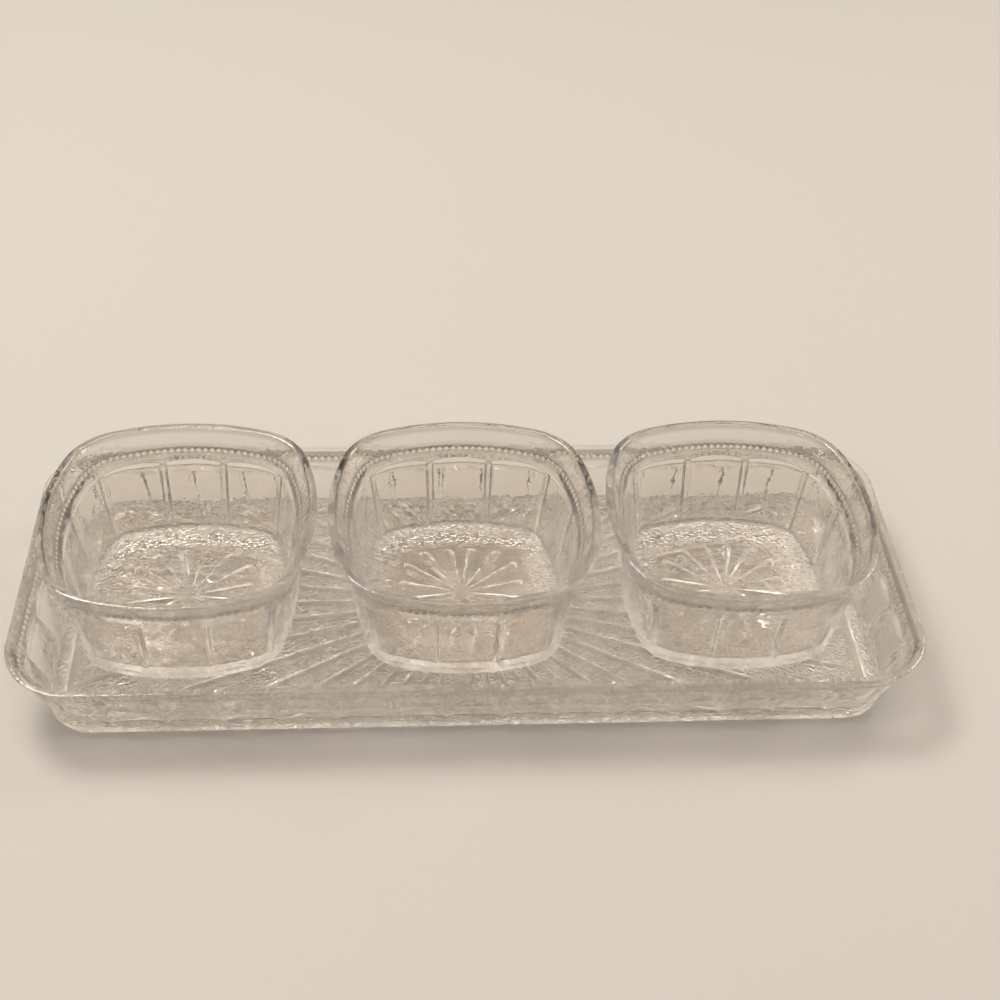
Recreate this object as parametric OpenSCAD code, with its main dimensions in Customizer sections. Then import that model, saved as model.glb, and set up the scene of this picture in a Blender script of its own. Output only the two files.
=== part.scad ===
// Pressed-glass relish tray: a long low tray that carries three loose square dishes in a row.
// Frame: origin in the middle of the tray's underside, +X along the tray to the right,
// +Y to the back, +Z up. All sizes in millimetres.

/* [Tray] */
// Length of the tray over its rim
tray_length = 340; // [330:1:370]
// Width of the tray over its rim
tray_width = 136; // [134:1:160]
// Height of the tray from its foot to the top of its rim
tray_height = 28.5; // [27:0.5:34]
// Corner radius of the tray's rim
tray_corner = 26; // [22:1:34]
// How far the two ends of the base are drawn in, beyond the slope that all the walls share
tray_tuck = 4.2; // [0:0.2:6]
// Height of the tray's inner floor above the table
tray_floor = 6.5; // [6:0.1:7.5]
// Height of the hollow inside the tray's foot
tray_hollow = 3; // [2:0.1:3.2]
// Number of flutes along each long side of the tray
tray_flutes_long = 13; // [9:2:17]
// Distance from one flute ridge to the next on the tray, at their tops
tray_flute_pitch = 20.9; // [14:0.1:21.5]
// Number of rays pressed into the underside of the tray
tray_rays = 48; // [24:4:60]

/* [Dishes] */
// Width and depth of a dish over its rim
dish_size = 103; // [98:0.5:103]
// Corner radius of a dish at its rim
dish_corner = 38; // [33:1:39]
// Height of a dish from its foot to the top of its rim
dish_height = 48.4; // [46:0.2:56]
// Where the middle of the left dish stands along the tray
dish_left_x = -109.4; // [-110:0.1:-108]
// Where the middle of the center dish stands along the tray
dish_center_x = -2.4; // [-4:0.1:-1]
// Where the middle of the right dish stands along the tray
dish_right_x = 103.4; // [103:0.1:110]
// Half of the distance between the two ridges on each side of a dish
dish_ridge = 12; // [10:0.5:14]
// Number of rays pressed into the underside of a dish
dish_rays = 16; // [8:4:24]

/* [Glass] */
// Depth of the flutes below their ridges
flute_depth = 1.2; // [0.6:0.1:1.6]
// Depth of the pressed rays
ray_depth = 0.6; // [0.3:0.1:0.9]
// Height of the hollow under each dish
foot_hollow = 0.8; // [0.4:0.1:1.0]

/* [Hidden] */
$fn = 64;
glass_tray = [0.80, 0.75, 0.69, 0.55];
glass_dish = [0.84, 0.80, 0.75, 0.55];

// Tray: half sizes at the rim, and the centres of its corner arcs at the rim and at the base.
tw = tray_width / 2;
tl = tray_length / 2;
th = tray_height;
tray_core = tw - tray_corner;
rim_core = tl - tray_corner;
base_core = rim_core - tray_tuck;
pitch = min(tray_flute_pitch, (2 * rim_core - 8) / tray_flutes_long);

// Dish section: half sizes at the middle of a side, and heights from its own foot.
dw = dish_size / 2;
dh = dish_height;
dish_core = dw - dish_corner;

// Half-round moulding that carries the bead row: o is the wall line, h the height of its middle.
function bead(o, h) = [for (a = [-90 : 30 : 90]) [o + 1.0 * cos(a), h + 1.0 * sin(a)]];

// Closed section of the tray's foot band and floor, from the inner line c outwards.
function foot_section(c) =
    [[c, tray_hollow], [tw - 13.2, tray_hollow], [tw - 12.4, 0], [tw - 7.8, 0], [tw - 7.2, 0.5],
     [tw - 6.8, 5.5], [tw - 9.5, tray_floor], [c, tray_floor]];

// Closed section of the tray's rim band: bead row, flared lip, and the inside down to the wall.
function rim_section() = concat(
    [[tw - 8.0, th - 7.6], [tw - 4.6, th - 7.6], [tw - 2.9, th - 6.4]],
    bead(tw - 2.6, th - 4.2),
    [[tw - 2.4, th - 3.0], [tw - 0.1, th - 0.8], [tw, th - 0.4], [tw - 0.5, th], [tw - 2.9, th],
     [tw - 3.6, th - 0.4]]);

// Closed section of a dish from the inner line c out to the rim.
function dish_section(c) = concat(
    [[c, foot_hollow], [dw - 21.0, foot_hollow], [dw - 20.2, 0], [dw - 10.2, 0], [dw - 9.6, 0.5],
     [dw - 9.4, 3.4], [dw - 9.3 - 0.5 * flute_depth, 4.0],
     [dw - 4.7 - flute_depth, dh - 15.0], [dw - 4.6, dh - 14.0]],
    bead(dw - 4.3, dh - 9.6),
    [[dw - 4.2, dh - 8.2], [dw - 0.2, dh - 1.2], [dw, dh - 0.7], [dw - 0.6, dh],
     [dw - 2.6, dh], [dw - 3.4, dh - 1.0], [dw - 7.6, dh - 8.4], [dw - 8.2, dh - 10.4],
     [dw - 9.0, dh - 14.4],
     [dw - 12.9, 8.0], [dw - 13.4, 6.2], [dw - 14.2, 5.0], [c, 5.0]]);

function shift_x(points, d) = [for (p = points) [p[0] + d, p[1]]];

// Distance from the middle of a rectangle to its edge along the direction a.
function reach(a, hx, hy) = min(hx / max(abs(cos(a)), 0.001), hy / max(abs(sin(a)), 0.001));

// One tapered ray, pressed upwards into an underside at the height z, from r0 to r1.
module ray(r0, r1, w, z) {
    translate([0, 0, z - 1])
        linear_extrude(height = ray_depth + 1)
            polygon([[r0, -w * 0.15], [r1 - w * 0.4, -w * 0.5], [r1, 0], [r1 - w * 0.4, w * 0.5], [r0, w * 0.15]]);
}

// Slim rounded ridge between two flutes, from the point p to the point q.
module ridge(p, q, r) {
    v = q - p;
    translate(p)
        rotate([0, acos(v[2] / norm(v)), atan2(v[1], v[0])])
            cylinder(h = norm(v), r = r, $fn = 24);
}

// Rounded rectangular vessel of one section: corner arcs about (cx, cy), straight walls between
// them, and a middle slab of floor from z0 to z1. The section starts at the distance inner.
module vessel(section, cx, cy, inner, z0, z1) {
    from_arc = shift_x(section, -inner);
    for (s = [0, 1]) mirror([0, s, 0])
        translate([-cx, cy, 0]) rotate([90, 0, 90])
            linear_extrude(height = 2 * cx) polygon(from_arc);
    for (s = [0, 1]) mirror([s, 0, 0])
        translate([cx, cy, 0]) rotate([90, 0, 0])
            linear_extrude(height = 2 * cy) polygon(from_arc);
    for (sx = [0, 1], sy = [0, 1]) mirror([sx, 0, 0]) mirror([0, sy, 0])
        translate([cx, cy, 0])
            rotate_extrude(angle = 90) polygon(from_arc);
    if (z1 > z0)
        translate([-cx, -cy, z0])
            cube([2 * cx, 2 * cy, z1 - z0]);
}

// Four round pads at the corners of an outline o from the middle of the long sides.
module pads(cx, o, z, h) {
    for (sx = [-1, 1], sy = [-1, 1])
        translate([sx * cx, sy * tray_core, z])
            cylinder(h = h, r = o - tray_core, $fn = 48);
}

// Ridges lean outwards from the foot band to the bead row: b and t are their wall lines.
module tray_ridges() {
    r = 1.3;
    b = tw - 6.6 - r + 0.15;
    t = tw - 3.0 - r + 0.15;
    n = tray_flutes_long;
    squeeze = base_core / rim_core;
    for (s = [-1, 1], k = [0 : n]) {
        x = (k - n / 2) * pitch;
        ridge([x * (1 + squeeze) / 2, s * b, 5.4], [x, s * t, th - 7.0], r);
    }
    for (s = [-1, 1], k = [-2 : 2])
        ridge([s * (base_core + b - tray_core), k * 20, 5.4], [s * (rim_core + t - tray_core), k * 20, th - 7.0], r);
    for (sx = [-1, 1], sy = [-1, 1])
        ridge([sx * (base_core + (b - tray_core) * cos(45)), sy * (tray_core + (b - tray_core) * sin(45)), 5.4],
              [sx * (rim_core + (t - tray_core) * cos(45)), sy * (tray_core + (t - tray_core) * sin(45)), th - 7.0], r);
}

module tray() {
    color(glass_tray)
    difference() {
        union() {
            vessel(foot_section(tray_core), base_core, tray_core, tray_core, tray_hollow, tray_floor);
            hull() {
                pads(base_core, tw - 7.7, 4.5, 1);
                pads(rim_core, tw - 2.9 - flute_depth, th - 7, 0.8);
            }
            vessel(rim_section(), rim_core, tray_core, tray_core, 0, 0);
            tray_ridges();
        }
        hull() {
            pads(base_core, tw - 12.4, tray_floor, 0.05);
            pads(base_core, tw - 10.9, tray_floor + 0.6, 0.1);
            pads(base_core, tw - 10.2, tray_floor + 1.8, 0.1);
            pads(rim_core, tw - 5.6, th - 3.3, 0.1);
        }
        for (k = [0 : tray_rays - 1]) {
            a = k * 360 / tray_rays;
            rotate([0, 0, a]) ray(14, reach(a, tl - 21, tw - 18), 2.2, tray_hollow);
        }
    }
}

module dish_ridges() {
    r = 1.4;
    b = dw - 9.3 - r + 0.15;
    t = dw - 4.7 - r + 0.15;
    for (k = [0 : 3]) rotate([0, 0, 90 * k]) {
        for (s = [-1, 1])
            ridge([b, s * dish_ridge, 3.2], [t, s * dish_ridge, dh - 14.4], r);
        ridge([dish_core + (b - dish_core) * cos(45), dish_core + (b - dish_core) * sin(45), 3.2],
              [dish_core + (t - dish_core) * cos(45), dish_core + (t - dish_core) * sin(45), dh - 14.4], r);
    }
}

// One dish, standing on the tray's floor at x.
module dish(x) {
    color(glass_dish)
    translate([x, 0, tray_floor])
    difference() {
        union() {
            vessel(dish_section(dish_core), dish_core, dish_core, dish_core, foot_hollow, 5);
            dish_ridges();
        }
        for (k = [0 : dish_rays - 1]) {
            a = (k + 0.5) * 360 / dish_rays;
            rotate([0, 0, a]) ray(6, min(reach(a, 24, 24), 27.5), 4, foot_hollow);
        }
    }
}

module dish_left() { dish(dish_left_x); }
module dish_center() { dish(dish_center_x); }
module dish_right() { dish(dish_right_x); }

tray();
dish_left();
dish_center();
dish_right();
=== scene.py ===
import math

import bpy
import numpy as np
from mathutils import Matrix, Vector


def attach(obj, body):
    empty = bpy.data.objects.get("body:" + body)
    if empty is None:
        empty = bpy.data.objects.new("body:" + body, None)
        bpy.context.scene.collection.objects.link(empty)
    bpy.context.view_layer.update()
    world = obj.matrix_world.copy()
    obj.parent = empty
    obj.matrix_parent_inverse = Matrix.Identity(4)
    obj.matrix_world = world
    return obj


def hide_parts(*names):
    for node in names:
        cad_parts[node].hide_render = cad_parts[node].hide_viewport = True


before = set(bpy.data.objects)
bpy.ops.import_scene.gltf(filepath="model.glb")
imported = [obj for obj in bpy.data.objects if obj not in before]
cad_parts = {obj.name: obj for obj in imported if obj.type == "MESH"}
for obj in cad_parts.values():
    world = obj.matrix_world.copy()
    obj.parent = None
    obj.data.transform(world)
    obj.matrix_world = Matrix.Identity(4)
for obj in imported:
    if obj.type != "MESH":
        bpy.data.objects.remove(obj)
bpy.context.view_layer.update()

MM = 0.001
TAU = 2 * math.pi


# ---------------------------------------------------------------- camera
# The viewing angle of the photograph, taken as a 1000 x 1000 frame.
cam_data = bpy.data.cameras.new("camera")
cam_data.sensor_fit = "HORIZONTAL"
cam_data.sensor_width = 36.0
cam_data.lens = 36.0 * 1.526
cam_data.clip_start = 0.01
cam_data.clip_end = 20.0
cam = bpy.data.objects.new("camera", cam_data)
bpy.context.scene.collection.objects.link(cam)
right = Vector((0.9976, -0.0568, 0.0387)).normalized()
ahead = Vector((0.0681, 0.7407, -0.6684))
ahead = (ahead - ahead.dot(right) * right).normalized()
up = right.cross(ahead)
rot = Matrix((right, up, -ahead)).transposed()
cam.matrix_world = Matrix.Translation(Vector((-0.0283, -0.4265, 0.4433))) @ rot.to_4x4()
bpy.context.scene.camera = cam


# ---------------------------------------------------------------- outlines
def smooth(x, a, b):
    t = np.clip((x - a) / (b - a), 0.0, 1.0)
    return t * t * (3 - 2 * t)


class Outline:
    """A closed outline of lines and arcs with parallel offsets. at(d) gives the points d inside the rim."""

    def __init__(self, segments, n, d_ref):
        lengths = []
        for s in segments:
            if s[0] == "line":
                lengths.append(math.dist(s[1], s[2]))
            else:
                lengths.append((s[2] - d_ref) * (s[4] - s[3]))
        self.total = sum(lengths)
        self.s = np.arange(n) * self.total / n
        self.K = np.zeros((n, 2))
        self.N = np.zeros((n, 2))
        self.R = np.zeros(n)
        start = 0.0
        for seg, ln in zip(segments, lengths):
            m = (self.s >= start - 1e-9) & (self.s < start + ln - 1e-9)
            f = (self.s[m] - start) / ln
            if seg[0] == "line":
                a, b = np.array(seg[1]), np.array(seg[2])
                self.K[m] = a + f[:, None] * (b - a)
                self.N[m] = seg[3]
                self.R[m] = seg[4]
            else:
                ang = seg[3] + f * (seg[4] - seg[3])
                self.K[m] = seg[1]
                self.N[m] = np.stack([np.cos(ang), np.sin(ang)], 1)
                self.R[m] = seg[2]
            start += ln
        self.n = n

    def at(self, d):
        return self.K + self.N * (self.R - d)[:, None]


def dish_outline(half, diag, rc, n, d_ref):
    c = (diag - rc) / math.sqrt(2)
    rs = (c * c + (half - c) ** 2 - rc * rc) / (2 * (half - c) - 2 * rc)
    psi = math.atan(c / (c + rs - half))
    segs = []
    for k in range(4):
        a = k * math.pi / 2
        ca, sa = math.cos(a), math.sin(a)
        apex = (-(rs - half) * ca, -(rs - half) * sa)
        corner = (c * ca - c * sa, c * sa + c * ca)
        if k == 0:
            segs.append(("arc", apex, rs, a, a + psi))
        else:
            segs.append(("arc", apex, rs, a - psi, a + psi))
        segs.append(("arc", corner, rc, a + psi, a + math.pi / 2 - psi))
    segs.append(("arc", (-(rs - half), 0.0), rs, TAU - psi, TAU))
    return Outline(segs, n, d_ref), rs, psi


def tray_outline(hx, hy, r, n, d_ref):
    cx, cy = hx - r, hy - r
    q = math.pi / 2
    segs = [
        ("line", (cx, 0), (cx, cy), (1, 0), r),
        ("arc", (cx, cy), r, 0, q),
        ("line", (cx, cy), (-cx, cy), (0, 1), r),
        ("arc", (-cx, cy), r, q, 2 * q),
        ("line", (-cx, cy), (-cx, -cy), (-1, 0), r),
        ("arc", (-cx, -cy), r, 2 * q, 3 * q),
        ("line", (-cx, -cy), (cx, -cy), (0, -1), r),
        ("arc", (cx, -cy), r, 3 * q, 4 * q),
        ("line", (cx, -cy), (cx, 0), (1, 0), r),
    ]
    return Outline(segs, n, d_ref)


def panel_fields(s, total, ridges):
    """For each point: distance to the nearest ridge, and -1..1 across its panel."""
    r = np.sort(np.array(ridges) % total)
    r = np.concatenate([[r[-1] - total], r, [r[0] + total]])
    i = np.searchsorted(r, s, side="right") - 1
    lo, hi = r[i], r[i + 1]
    t = 2 * (s - lo) / (hi - lo) - 1
    near = np.minimum(s - lo, hi - s)
    return near, t, hi - lo


def cell_noise(x, y, seed):
    """Smooth value noise on a unit grid, the same each run."""
    def h(i, j):
        v = np.sin(i * 127.1 + j * 311.7 + seed * 74.7) * 43758.5453
        return v - np.floor(v)
    i, j = np.floor(x), np.floor(y)
    fx, fy = x - i, y - j
    fx, fy = fx * fx * (3 - 2 * fx), fy * fy * (3 - 2 * fy)
    return ((h(i, j) * (1 - fx) + h(i + 1, j) * fx) * (1 - fy)
            + (h(i, j + 1) * (1 - fx) + h(i + 1, j + 1) * fx) * fy)


def closed_mesh(name, rings, extra, painted_shade):
    """Rings from the middle of the underside, round the rim, to the middle of the inner floor."""
    n = len(rings[0])
    m = len(rings)
    co = np.concatenate([np.array([[0, 0, rings[0][:, 2].mean()]]), *rings,
                         np.array([[0, 0, rings[-1][:, 2].mean()]])]) * MM
    j = np.arange(n)
    k = (j + 1) % n
    tris_a = np.stack([np.zeros(n, int), 1 + k, 1 + j], 1)
    last = 1 + (m - 1) * n
    tris_b = np.stack([np.full(n, last + n), last + j, last + k], 1)
    quads = []
    for i in range(m - 1):
        a = 1 + i * n
        b = a + n
        quads.append(np.stack([a + j, a + k, b + k, b + j], 1))
    quads = np.concatenate(quads)
    loops = np.concatenate([tris_a.ravel(), quads.ravel(), tris_b.ravel()])
    sizes = np.concatenate([np.full(n, 3), np.full(len(quads), 4), np.full(n, 3)])
    starts = np.concatenate([[0], np.cumsum(sizes)[:-1]])
    me = bpy.data.meshes.new(name)
    me.vertices.add(len(co))
    me.vertices.foreach_set("co", co.astype(np.float32).ravel())
    me.loops.add(len(loops))
    me.loops.foreach_set("vertex_index", loops.astype(np.int32))
    me.polygons.add(len(sizes))
    me.polygons.foreach_set("loop_start", starts.astype(np.int32))
    me.polygons.foreach_set("use_smooth", np.ones(len(sizes), bool))
    me.update(calc_edges=True)
    # attributes per point: stipple for the bump, and painted shade that darkens the glass colour along edges and
    # creases
    for key, rows_of in (("stipple", extra), ("painted_shade", painted_shade)):
        val = np.concatenate([[rows_of[0].mean()], *rows_of, [rows_of[-1].mean()]])
        at = me.attributes.new(key, "FLOAT", "POINT")
        at.data.foreach_set("value", val.astype(np.float32))
    me.validate()
    return me


def rows(*parts):
    out = []
    for p in parts:
        out.extend(p)
    return out


def span(a, b, n, f0=0.0, f1=0.0, last=False):
    """Rows from a to b, (distance, height), with the flute factor going from f0 to f1."""
    k = np.arange(n + (1 if last else 0)) / n
    return [(a[0] + (b[0] - a[0]) * t, a[1] + (b[1] - a[1]) * t, f0 + (f1 - f0) * t) for t in k]


# ---------------------------------------------------------------- dish
DW, DH = 51.5, 48.4
FLOOR = 6.5     # height of the tray's inner floor
BEADS_DISH = 116
GAP = 0.08      # air film between a dish's foot and the tray's floor
FOOT_WAVES = 150
# rows (distance, height) where the glass turns sharply and looks dark, and how strongly painted shade darkens the
# colour there
DISH_PAINTED_SHADE = {(47.2, 40.25): 0.7, (47.5, 40.8): 0.6, (48.6, 48.1): 0.5, (48.35, 47.8): 0.8, (48.1, 47.4): 0.7,
              (51.42, 47.5): 0.3, (51.5, 47.8): 0.3, (43.85, 39.8): 0.4, (43.5, 38.6): 0.4,
              (38.35, 6.0): 0.5, (38.05, 5.45): 0.8, (37.7, 5.15): 0.8, (37.2, 5.02): 0.4}


def dish_mesh():
    n = BEADS_DISH * 8
    d_ref = DW - 47.1
    out, rs, psi = dish_outline(DW, 57.1, 26.0, n, d_ref)
    quarter = out.total / 4
    a = math.asin(12.0 / (rs - 7.0))
    s_side = a * (rs - d_ref)
    ridges = []
    for k in range(4):
        ridges += [k * quarter - s_side, k * quarter + s_side, (k + 0.5) * quarter]
    near, t, width = panel_fields(out.s, out.total, ridges)

    # across a panel: a rounded ridge, then a shallow hollow
    step = smooth(near, 0.5, 2.1)
    hollow = np.clip(1 - t * t, 0, 1)
    panel = 0.95 * step + 0.65 * hollow ** 0.8
    crest = 0.2 * (1 - smooth(near, 0.0, 1.5))

    def ridge_h(z):
        return 42.2 + (z - 4.0) * 4.6 / 30.0

    prof = rows(
        [(29.6, 0.14, 0), (30.6, 0.07, 0), (31.6, 0.03, 0), (32.2, 0.01, 0)],
        span((32.8, 0.0), (39.8, 0.0), 3),
        [(39.8, 0.0, 0), (40.5, 0.05, 0), (41.0, 0.22, 0), (41.4, 0.55, 0), (41.62, 1.0, 0), (41.8, 1.8, 0),
         (41.92, 2.6, 0), (41.98, 2.95, 0), (41.96, 3.2, 0), (41.8, 3.38, 0.08)],
        [(ridge_h(3.6), 3.46, 0.25), (ridge_h(3.6), 3.54, 0.5), (ridge_h(3.8), 3.75, 0.56), (ridge_h(4.4), 4.4, 0.58)],
        [(ridge_h(z), z, f) for z, f in ((8.5, 0.66), (13.0, 0.78), (18.0, 0.9), (23.0, 0.96), (27.5, 1.0), (30.5, 1.0),
                                         (32.0, 1.0), (32.8, 0.97), (33.3, 0.86), (33.6, 0.68), (33.85, 0.42), (34.05, 0.16), (34.3, 0.0))],
        [(46.85, 34.8, 0), (46.98, 35.3, 0), (47.05, 35.8, 0), (47.08, 36.6, 0), (47.1, 37.2, 0)],
        [(47.1, z, 0) for z in np.arange(37.6, 40.05, 0.2)],
        [(47.2, 40.25, 0), (47.5, 40.8, 0), (48.1, 41.9, 0), (48.9, 43.3, 0), (49.8, 44.9, 0), (50.6, 46.2, 0),
         (51.2, 47.15, 0), (51.42, 47.5, 0), (51.5, 47.8, 0), (51.4, 48.1, 0), (51.15, 48.3, 0), (50.75, 48.39, 0),
         (50.2, 48.4, 0), (49.5, 48.39, 0), (49.0, 48.3, 0), (48.6, 48.1, 0), (48.35, 47.8, 0), (48.1, 47.4, 0)],
        [(47.4, 46.3, 0), (46.4, 44.6, 0), (45.3, 42.7, 0), (44.4, 41.0, 0), (43.85, 39.8, 0), (43.5, 38.6, 0), (43.2, 37.2, 0),
         (42.95, 35.8, 0), (42.6, 34.0, 0)],
        span((42.1, 31.0), (38.95, 9.5), 5),
        [(38.95, 9.5, 0), (38.75, 8.0, 0), (38.55, 6.8, 0), (38.35, 6.0, 0), (38.05, 5.45, 0), (37.7, 5.15, 0), (37.2, 5.02, 0), (36.5, 5.0, 0)],
    )

    bead_c, pitch = 38.8, out.total / BEADS_DISH
    along = (out.s + pitch / 2) % pitch - pitch / 2
    rings, extra, painted_shade = [], [], []

    # underside: tapered rays pressed up into the hollow of the foot
    edge = out.at(DW - 29.6)
    for f in np.concatenate([np.linspace(0.03, 0.68, 12), np.linspace(0.70, 0.86, 9), [0.9, 0.95]]):
        xy = edge * f
        r = np.hypot(xy[:, 0], xy[:, 1])
        phi = np.arctan2(xy[:, 1], xy[:, 0])
        k = TAU / 16
        off = (phi + 1e-9) % k - k / 2
        q = np.abs(r * np.sin(off))
        grow = np.clip((r - 3.0) / 22.0, 0, 1)
        half = 0.4 + 1.9 * grow
        tip = np.clip((0.84 - f) / 0.06, 0, 1)
        half = half * np.sqrt(np.clip(tip * (2 - tip), 0, 1))
        u = np.clip(1 - np.sqrt(q * q + 0.01) / np.maximum(half, 1e-3), 0, 1)
        depth = 0.66 * half * u * smooth(r, 3.0, 5.0)
        rings.append(np.column_stack([xy, 0.8 - 0.66 * smooth(f, 0.5, 1.05) + depth]))
        extra.append(0.3 * smooth(f, 0.86, 0.95) * np.ones(n))
        painted_shade.append(np.zeros(n))

    for h, z, f in prof:
        d = np.full(n, DW - h)
        zz = np.full(n, float(z))
        if f:
            d = d + f * panel - (crest if 4 < z < 34 else 0)
        if 0.2 < z < 3.3 and h > 40:
            d = d + 0.34 * cell_noise(out.s * FOOT_WAVES / out.total, np.full(n, z * 0.9), 3)
        if 26 < z < 35.9 and h > 44:
            w = smooth(z, 27.0, 33.8) * (1 - smooth(z, 34.4, 35.9))
            zz = zz - 1.1 * w * t * t
        # painted shade: the colour is darkened along sharp turns, the flute tops, the foot ledge and round each bead
        painted_dark = np.full(n, DISH_PAINTED_SHADE.get((h, z), 0.0))
        if 0.1 < f < 0.95 and z > 33:
            painted_dark = np.full(n, 0.35)
        if 3.1 < z < 3.6 and h > 40:
            painted_dark = np.full(n, 0.7)
        if abs(z - bead_c) < 1.25 and 46.9 < h < 47.25:
            q = (along / 1.2) ** 2 + ((z - bead_c) / 1.18) ** 2
            d = d - 1.0 * np.clip(1 - q, 0, 1) ** 0.6
            painted_dark = 0.6 * smooth(q, 0.6, 1.1)
        painted_shade.append(painted_dark)
        rings.append(np.column_stack([out.at(0) - out.N * d[:, None], zz]))
        extra.append(np.full(n, 0.3 if h < 39.7 and z < 0.2 else 0.5 if h > 39.7 and z < 3.3 else 0.0))

    edge = out.at(DW - 36.5)
    for f in (0.97, 0.9, 0.75, 0.55, 0.35, 0.15, 0.04):
        rings.append(np.column_stack([edge * f, np.full(n, 5.0)]))
        extra.append(np.zeros(n))
        painted_shade.append(np.zeros(n))

    for r in rings:
        r[:, 2] = GAP + r[:, 2] * (DH - GAP) / DH + FLOOR
    return closed_mesh("dish", rings, extra, painted_shade)


# ---------------------------------------------------------------- tray
TL, TW, TH = 170.0, 68.0, 28.5
BEADS_TRAY = 316
RAYS_TRAY = 48
HOLLOW = 3.0    # height of the hollow inside the foot
TUCK = 0.17     # the ends of the tray lean out by this much more than its long sides
# rows (distance, height) where the tray's glass turns sharply, and how strongly painted shade darkens the colour there
TRAY_PAINTED_SHADE = {(65.35, 22.3): 0.4, (65.4, 22.7): 0.5, (65.5, 25.7): 0.8, (65.8, 26.1): 0.6, (64.95, 28.38): 0.6, (64.6, 28.15): 0.9,
              (64.3, 27.75): 0.8, (67.95, 28.05): 0.3, (67.93, 28.25): 0.3, (57.0, 7.15): 0.4, (56.3, 6.7): 0.4, (61.28, 5.3): 0.4}


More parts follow.
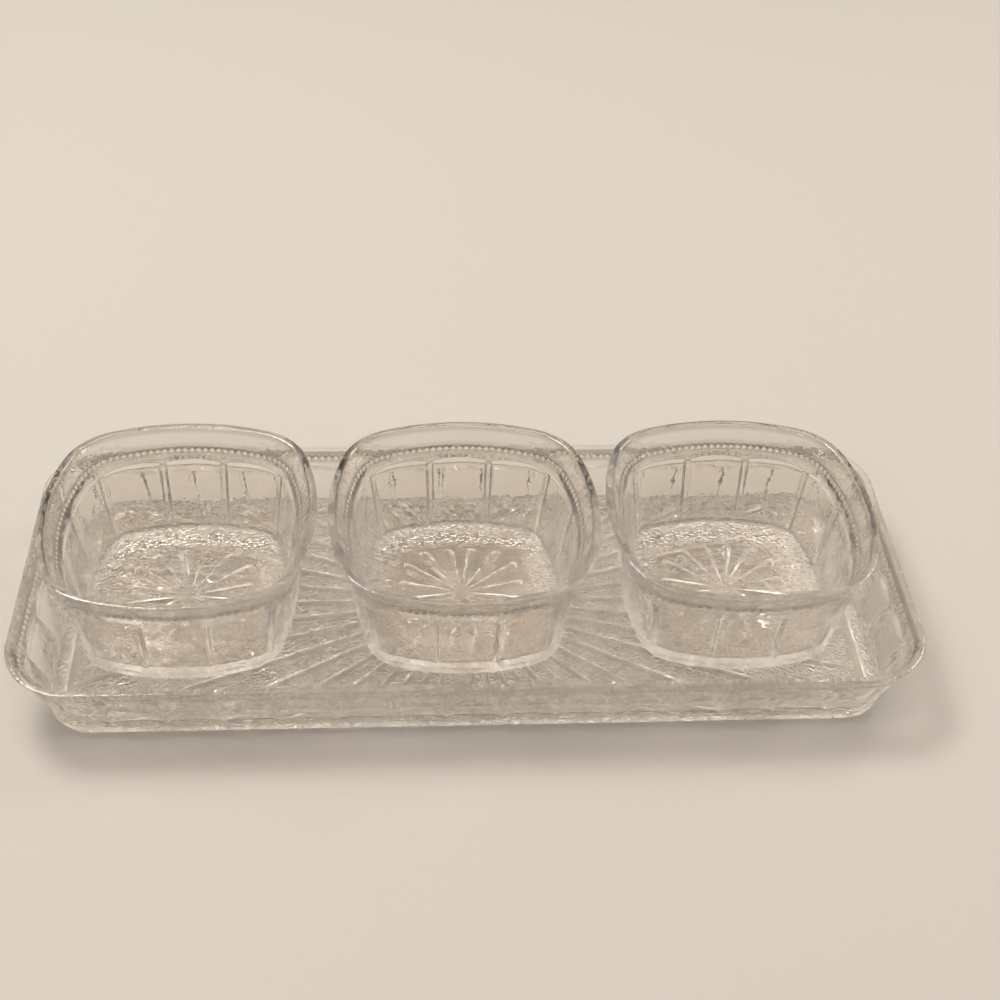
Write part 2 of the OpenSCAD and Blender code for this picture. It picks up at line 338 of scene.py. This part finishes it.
def tray_mesh():
    n = BEADS_TRAY * 8
    d_ref = TW - 65.4
    out = tray_outline(TL, TW, 26.0, n, d_ref)
    quarter = out.total / 4
    s_long = quarter            # middle of the back side
    first = s_long - 135.85
    q1 = [0.0, 20.5, 41.0, (41.0 + first) / 2] + [s_long - 10.45 - 20.9 * k for k in range(6, -1, -1)]
    ridges = set()
    for s in q1:
        for v in (s, 2 * quarter - s, 2 * quarter + s, 4 * quarter - s):
            ridges.add(round(v % out.total, 4))
    near, t, width = panel_fields(out.s, out.total, sorted(ridges))
    hollow = np.clip(1 - t * t, 0, 1)
    panel = 1.35 * hollow ** 0.7 + 0.85 * smooth(near, 0.4, 1.8)

    def place(d, z):
        """Points d inside the rim at the height z, with the ends drawn in towards the base."""
        k = out.K.copy()
        k[:, 0] *= 1 - TUCK / (TL - 26.0) * (TH - z)
        d = np.broadcast_to(d, (n,))
        return np.column_stack([k + out.N * (out.R - d)[:, None], np.broadcast_to(z, (n,))])

    def ridge_h(z):
        return 61.5 + (z - 6.1) * 3.65 / 15.2

    prof = rows(
        [(54.8, HOLLOW, 0), (54.9, 2.6, 0), (55.1, 1.8, 0), (55.4, 0.6, 0), (55.55, 0.25, 0), (55.85, 0.04, 0), (56.3, 0.0, 0),
         (58.0, 0.0, 0), (59.6, 0.0, 0), (60.2, 0.03, 0), (60.55, 0.14, 0), (60.78, 0.36, 0), (60.9, 0.75, 0), (61.02, 2.2, 0),
         (61.15, 3.8, 0), (61.25, 4.8, 0), (61.28, 5.3, 0), (61.25, 5.6, 0.05)],
        [(ridge_h(5.8), 5.8, 0.2), (ridge_h(6.0), 6.0, 0.38), (ridge_h(6.4), 6.35, 0.48), (ridge_h(6.9), 6.9, 0.52)],
        [(ridge_h(z), z, f) for z, f in ((9.5, 0.66), (12.5, 0.82), (15.5, 0.94), (18.0, 1.0), (19.3, 1.0), (20.0, 0.96), (20.4, 0.86),
                                         (20.7, 0.68), (20.95, 0.42), (21.15, 0.16), (21.4, 0.0))],
        [(65.1, 21.7, 0), (65.25, 22.0, 0), (65.35, 22.3, 0), (65.4, 22.7, 0)],
        [(65.4, z, 0) for z in np.arange(23.1, 25.55, 0.2)],
        [(65.5, 25.7, 0), (65.8, 26.1, 0), (66.3, 26.6, 0), (66.9, 27.1, 0), (67.5, 27.6, 0), (67.8, 27.85, 0), (67.95, 28.05, 0),
         (67.93, 28.25, 0), (67.7, 28.42, 0), (67.3, 28.49, 0), (66.8, 28.5, 0), (66.0, 28.5, 0), (65.4, 28.48, 0),
         (64.95, 28.38, 0), (64.6, 28.15, 0), (64.3, 27.75, 0), (63.7, 26.9, 0), (62.9, 25.7, 0), (62.3, 24.6, 0), (61.9, 23.4, 0),
         (61.5, 21.9, 0), (61.1, 20.4, 0)],
        span((60.6, 18.5), (58.2, 9.9), 2),
        [(58.2, 9.9, 0), (57.85, 8.6, 0), (57.5, 7.8, 0), (57.0, 7.15, 0), (56.3, 6.7, 0), (55.4, 6.52, 0), (54.4, 6.5, 0)],
    )

    bead_c, pitch = 24.3, out.total / BEADS_TRAY
    along = (out.s + pitch / 2) % pitch - pitch / 2
    rings, extra, painted_shade = [], [], []

    edge = place(TW - 54.8, HOLLOW)[:, :2]
    for f in np.concatenate([np.linspace(0.03, 0.93, 19), np.linspace(0.945, 0.99, 7)]):
        xy = edge * f
        r = np.hypot(xy[:, 0], xy[:, 1])
        phi = np.arctan2(xy[:, 1], xy[:, 0])
        k = TAU / RAYS_TRAY
        off = (phi + k / 2) % k - k / 2
        q = np.abs(r * np.sin(off))
        half = 0.5 + 0.5 * np.clip((r - 8) / 60, 0, 1)
        end = smooth(f, 0.985, 0.955) * smooth(r, 34.0, 43.0)
        u = np.clip(1 - (q / half) ** 2, 0, 1)
        ray = 0.34 * half * u * end
        stip = smooth(q, half, half + 0.7) * smooth(f, 0.985, 0.955) * smooth(r, 30.0, 43.0)
        rings.append(np.column_stack([xy, HOLLOW + ray]))
        extra.append(stip)
        painted_shade.append(np.zeros(n))

    for h, z, f in prof:
        d = np.full(n, TW - h)
        zz = np.full(n, float(z))
        if f:
            d = d + f * panel
        if 14 < z < 22.4 and h > 62.5:
            w = smooth(z, 14.0, 20.9) * (1 - smooth(z, 21.6, 22.4))
            zz = zz - 1.7 * w * t * t
        # painted shade: the colour is darkened along sharp turns, the flute tops and bottoms, and round each bead
        painted_dark = np.full(n, TRAY_PAINTED_SHADE.get((h, z), 0.0))
        if 0.1 < f < 0.95 and z > 19.5:
            painted_dark = np.full(n, 0.5)
        if 0.0 < f < 0.5 and z < 6.5:
            painted_dark = np.full(n, 0.6)
        if abs(z - bead_c) < 1.25 and 65.3 < h < 65.45:
            q = (along / 1.22) ** 2 + ((z - bead_c) / 1.18) ** 2
            d = d - 1.0 * np.clip(1 - q, 0, 1) ** 0.6
            painted_dark = 0.8 * smooth(q, 0.5, 1.0)
        painted_shade.append(painted_dark)
        ring = place(d, z)
        ring[:, 2] = zz
        rings.append(ring)
        extra.append(np.full(n, 0.0 if h < 55.5 else 1.2 if z < 0.8 else 0.5 if z < 5.0 else 0.0))

    edge = place(TW - 54.4, 6.5)[:, :2]
    for f in (0.98, 0.94, 0.85, 0.7, 0.5, 0.3, 0.12, 0.03):
        rings.append(np.column_stack([edge * f, np.full(n, 6.5)]))
        extra.append(np.zeros(n))
        painted_shade.append(np.zeros(n))
    return closed_mesh("tray_glass", rings, extra, painted_shade)


# ---------------------------------------------------------------- glass
def glass(name, base, painted_dark, stipple):
    mat = bpy.data.materials.new(name)
    mat.use_nodes = True
    nt = mat.node_tree
    nt.nodes.clear()
    out = nt.nodes.new("ShaderNodeOutputMaterial")
    bsdf = nt.nodes.new("ShaderNodeBsdfPrincipled")
    # painted shade: the base colour is mixed towards a dark colour where the mesh marks edges and creases
    line = nt.nodes.new("ShaderNodeAttribute")
    line.attribute_name = "painted_shade"
    tint_and_shade = nt.nodes.new("ShaderNodeMix")
    tint_and_shade.data_type = "RGBA"
    tint_and_shade.inputs[6].default_value = (*base, 1)
    tint_and_shade.inputs[7].default_value = (*painted_dark, 1)
    nt.links.new(line.outputs["Fac"], tint_and_shade.inputs[0])
    nt.links.new(tint_and_shade.outputs[2], bsdf.inputs["Base Color"])
    bsdf.inputs["Transmission Weight"].default_value = 1.0
    bsdf.inputs["IOR"].default_value = 1.5
    bsdf.inputs["Metallic"].default_value = 0.0
    nt.links.new(bsdf.outputs["BSDF"], out.inputs["Surface"])
    geo = nt.nodes.new("ShaderNodeTexCoord")
    # fire-polished skin: long soft waves, and a faint haze that comes and goes
    wave = nt.nodes.new("ShaderNodeTexNoise")
    wave.inputs["Scale"].default_value = 130
    wave.inputs["Detail"].default_value = 3
    wave.inputs["Roughness"].default_value = 0.45
    nt.links.new(geo.outputs["Object"], wave.inputs["Vector"])
    haze = nt.nodes.new("ShaderNodeTexNoise")
    haze.inputs["Scale"].default_value = 60
    haze.inputs["Detail"].default_value = 3
    nt.links.new(geo.outputs["Object"], haze.inputs["Vector"])
    rough = nt.nodes.new("ShaderNodeMapRange")
    rough.inputs["From Min"].default_value = 0.35
    rough.inputs["From Max"].default_value = 0.75
    rough.inputs["To Min"].default_value = 0.0
    rough.inputs["To Max"].default_value = 0.012
    nt.links.new(haze.outputs["Fac"], rough.inputs["Value"])
    nt.links.new(rough.outputs["Result"], bsdf.inputs["Roughness"])
    bump = nt.nodes.new("ShaderNodeBump")
    bump.inputs["Strength"].default_value = 0.4
    bump.inputs["Distance"].default_value = 0.0012
    nt.links.new(wave.outputs["Fac"], bump.inputs["Height"])
    normal = bump.outputs["Normal"]
    if stipple:
        att = nt.nodes.new("ShaderNodeAttribute")
        att.attribute_name = "stipple"
        peb = nt.nodes.new("ShaderNodeTexVoronoi")
        peb.feature = "SMOOTH_F1"
        peb.inputs["Scale"].default_value = 800
        peb.inputs["Smoothness"].default_value = 0.35
        nt.links.new(geo.outputs["Object"], peb.inputs["Vector"])
        mul = nt.nodes.new("ShaderNodeMath")
        mul.operation = "MULTIPLY"
        nt.links.new(peb.outputs["Distance"], mul.inputs[0])
        nt.links.new(att.outputs["Fac"], mul.inputs[1])
        b2 = nt.nodes.new("ShaderNodeBump")
        b2.inputs["Strength"].default_value = 0.8
        b2.inputs["Distance"].default_value = 0.0016
        nt.links.new(mul.outputs["Value"], b2.inputs["Height"])
        nt.links.new(normal, b2.inputs["Normal"])
        normal = b2.outputs["Normal"]
    nt.links.new(normal, bsdf.inputs["Normal"])
    return mat


# a light glass tint, and the dark colour of the painted shade in edges and creases
tray_glass = glass("tray_pressed_glass", (0.93, 0.905, 0.87), (0.36, 0.32, 0.27), True)
dish_glass = glass("dish_pressed_glass", (0.95, 0.93, 0.905), (0.5, 0.465, 0.42), True)


# ---------------------------------------------------------------- pieces
def put(name, mesh, mat, body, node, x=0.0):
    obj = bpy.data.objects.new(name, mesh)
    bpy.context.scene.collection.objects.link(obj)
    obj.location = (x * MM, 0, 0)
    if not mesh.materials:
        mesh.materials.append(mat)
    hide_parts(node)
    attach(obj, body)
    return obj


put("tray_glass", tray_mesh(), tray_glass, "tray", "tray")
dish = dish_mesh()
for side, x in (("left", -109.4), ("center", -2.4), ("right", 103.4)):
    put("dish_" + side + "_glass", dish, dish_glass, "dish_" + side, "dish_" + side, x)


# ---------------------------------------------------------------- floor
floor_mat = bpy.data.materials.new("floor")
floor_mat.use_nodes = True
p = floor_mat.node_tree.nodes["Principled BSDF"]
p.inputs["Base Color"].default_value = (0.43, 0.415, 0.395, 1)
p.inputs["Roughness"].default_value = 0.7
p.inputs["Specular IOR Level"].default_value = 0.2
me = bpy.data.meshes.new("floor")
me.from_pydata([(-6, -6, 0), (6, -6, 0), (6, 6, 0), (-6, 6, 0)], [], [(0, 1, 2, 3)])
floor = bpy.data.objects.new("floor", me)
floor.location = (0, 0, -0.0003)
me.materials.append(floor_mat)
bpy.context.scene.collection.objects.link(floor)


# ---------------------------------------------------------------- light
def softbox(name, at, look, size, power, color=(1, 1, 1)):
    d = bpy.data.lights.new(name, "AREA")
    d.shape = "RECTANGLE"
    d.size, d.size_y = size
    d.energy = power
    d.color = color
    o = bpy.data.objects.new(name, d)
    o.location = at
    o.rotation_euler = (Vector(look) - Vector(at)).to_track_quat("-Z", "Y").to_euler()
    bpy.context.scene.collection.objects.link(o)
    return o


softbox("key", (-0.55, 0.45, 1.2), (0, 0, 0), (0.55, 0.42), 11.5, (1.0, 0.95, 0.88))
softbox("fill", (0.8, 0.6, 0.9), (0, 0, 0), (0.32, 0.32), 3.5, (1.0, 0.95, 0.88))
softbox("front", (-0.5, -0.9, 0.9), (0, 0, 0), (0.28, 0.24), 2)
softbox("side", (1.0, -0.1, 0.5), (0, 0, 0), (0.24, 0.3), 1.5)

# a soft room: bright overhead, uneven higher up, dark towards the front
world = bpy.data.worlds.new("world")
world.use_nodes = True
bpy.context.scene.world = world
wn = world.node_tree
bg = wn.nodes["Background"]
bg.inputs["Strength"].default_value = 1.15
coord = wn.nodes.new("ShaderNodeTexCoord")
sep = wn.nodes.new("ShaderNodeSeparateXYZ")
ramp = wn.nodes.new("ShaderNodeValToRGB")
wn.links.new(coord.outputs["Generated"], sep.inputs["Vector"])
wn.links.new(sep.outputs["Z"], ramp.inputs["Fac"])
stops = ((0.0, 0.3, 0.68), (0.3, 0.62, 0.71), (0.7, 0.85, 0.74), (1.0, 1.9, 0.78))
while len(ramp.color_ramp.elements) < len(stops):
    ramp.color_ramp.elements.new(0.5)
for e, (at, v, warm) in zip(ramp.color_ramp.elements, stops):
    e.position = at
    e.color = (v, v * (0.5 + 0.5 * warm), v * warm, 1)
side = wn.nodes.new("ShaderNodeMapRange")
side.inputs["From Min"].default_value = -0.7
side.inputs["From Max"].default_value = 0.1
side.inputs["To Min"].default_value = 0.04
side.inputs["To Max"].default_value = 1.0
wn.links.new(sep.outputs["Y"], side.inputs["Value"])
room = wn.nodes.new("ShaderNodeTexNoise")
room.inputs["Scale"].default_value = 3.4
room.inputs["Detail"].default_value = 2
wn.links.new(coord.outputs["Generated"], room.inputs["Vector"])
patch = wn.nodes.new("ShaderNodeMapRange")
patch.inputs["From Min"].default_value = 0.42
patch.inputs["From Max"].default_value = 0.58
patch.inputs["To Min"].default_value = 0.25
patch.inputs["To Max"].default_value = 1.65
wn.links.new(room.outputs["Fac"], patch.inputs["Value"])
# plain near the horizon, uneven only higher up
high = wn.nodes.new("ShaderNodeMapRange")
high.inputs["From Min"].default_value = 0.2
high.inputs["From Max"].default_value = 0.45
wn.links.new(sep.outputs["Z"], high.inputs["Value"])
even = wn.nodes.new("ShaderNodeMix")
even.data_type = "FLOAT"
even.inputs[2].default_value = 0.9
wn.links.new(high.outputs["Result"], even.inputs[0])
wn.links.new(patch.outputs["Result"], even.inputs[3])
both = wn.nodes.new("ShaderNodeMath")
both.operation = "MULTIPLY"
wn.links.new(side.outputs["Result"], both.inputs[0])
wn.links.new(even.outputs[0], both.inputs[1])
scale = wn.nodes.new("ShaderNodeVectorMath")
scale.operation = "SCALE"
wn.links.new(ramp.outputs["Color"], scale.inputs[0])
wn.links.new(both.outputs["Value"], scale.inputs["Scale"])
wn.links.new(scale.outputs["Vector"], bg.inputs["Color"])

sc = bpy.context.scene
sc.view_settings.view_transform = "Standard"
sc.view_settings.look = "None"
sc.cycles.max_bounces = 16
sc.cycles.transmission_bounces = 16
sc.cycles.glossy_bounces = 16
sc.cycles.diffuse_bounces = 3
sc.cycles.caustics_reflective = True
sc.cycles.caustics_refractive = True
sc.cycles.blur_glossy = 0.0
sc.cycles.sample_clamp_indirect = 6.0
